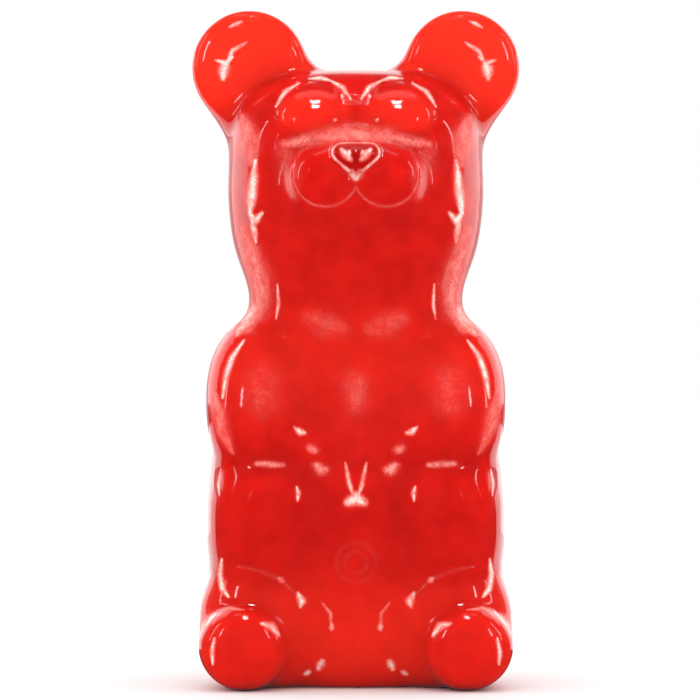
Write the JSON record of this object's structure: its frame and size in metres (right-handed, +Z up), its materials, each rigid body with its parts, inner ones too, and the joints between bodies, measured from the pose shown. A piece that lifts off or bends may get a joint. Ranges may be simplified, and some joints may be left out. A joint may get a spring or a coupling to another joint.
{
  "type": "giant gummy bear",
  "caption": "Giant moulded gummy bear in clear red gelatine, standing on its feet and seat, with round ears, broad smiling snout, folded arms and rounded feet.",
  "frame": {"origin": "middle of the part's box at its base, on the surface that the bear stands on", "axes": "+Z up through the head, -Y the way the face looks, +X towards the right of a viewer who faces the bear"},
  "size_m": [0.114, 0.0966, 0.2345],
  "materials": {
    "red_gelatine": "clear red cast gelatine with a wet gloss"
  },
  "bodies": {
    "root": {"gummy_bear": "red_gelatine"}
  },
  "joints": []
}
